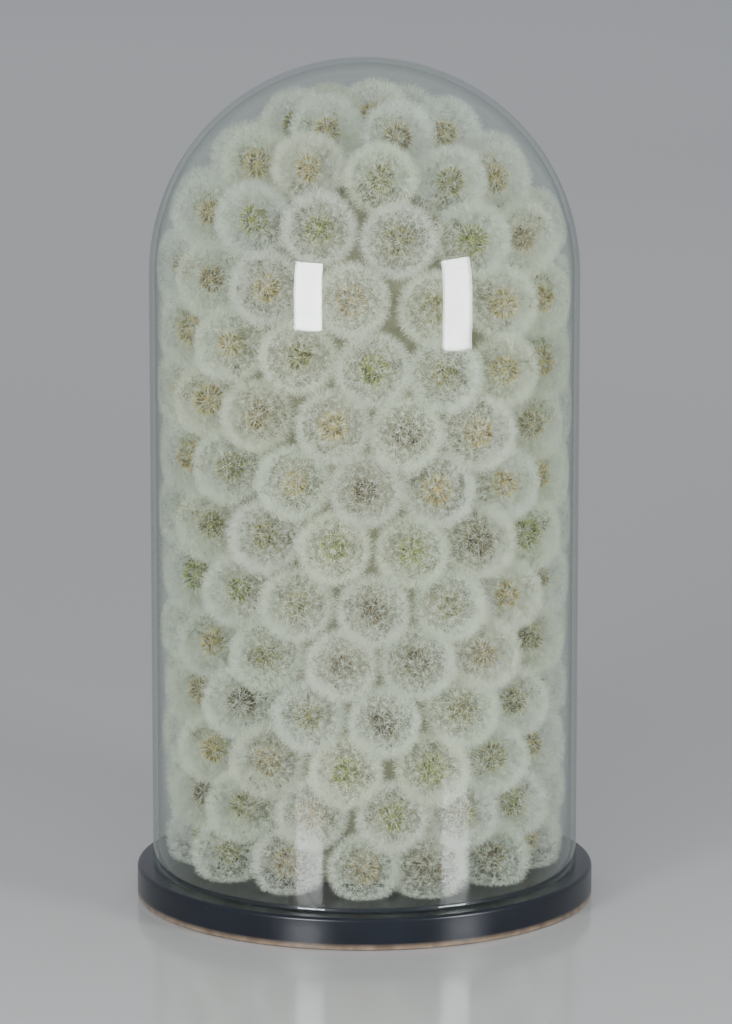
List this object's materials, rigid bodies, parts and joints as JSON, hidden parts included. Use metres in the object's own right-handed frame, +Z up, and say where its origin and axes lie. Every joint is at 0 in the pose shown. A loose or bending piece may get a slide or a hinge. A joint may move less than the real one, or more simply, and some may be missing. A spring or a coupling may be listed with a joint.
{
  "type": "glass dome display of preserved dandelion seed heads",
  "caption": "Tall clear glass dome on a low round dark base, packed with whole preserved dandelion seed heads that face outwards from a hidden foam core.",
  "frame": {"origin": "centre of the base's underside", "axes": "+Z up along the dome's axis, -Y towards the side seen from the front"},
  "size_m": [0.258, 0.258, 0.4745],
  "materials": {
    "base_lacquer": "satin",
    "dome_glass": "polished",
    "core_foam": "matte",
    "seed_down": "matte"
  },
  "bodies": {
    "root": {"base": "base_lacquer", "glass_dome": "dome_glass", "foam_core": "core_foam", "seed_heads_tier_01": "seed_down", "seed_heads_tier_02": "seed_down", "seed_heads_tier_03": "seed_down", "seed_heads_tier_04": "seed_down", "seed_heads_tier_05": "seed_down", "seed_heads_tier_06": "seed_down", "seed_heads_tier_07": "seed_down", "seed_heads_tier_08": "seed_down", "seed_heads_tier_09": "seed_down", "seed_heads_tier_10": "seed_down", "seed_heads_tier_11": "seed_down", "seed_heads_tier_12": "seed_down", "seed_heads_tier_13": "seed_down", "seed_heads_tier_14": "seed_down", "seed_heads_tier_15": "seed_down"}
  },
  "joints": []
}
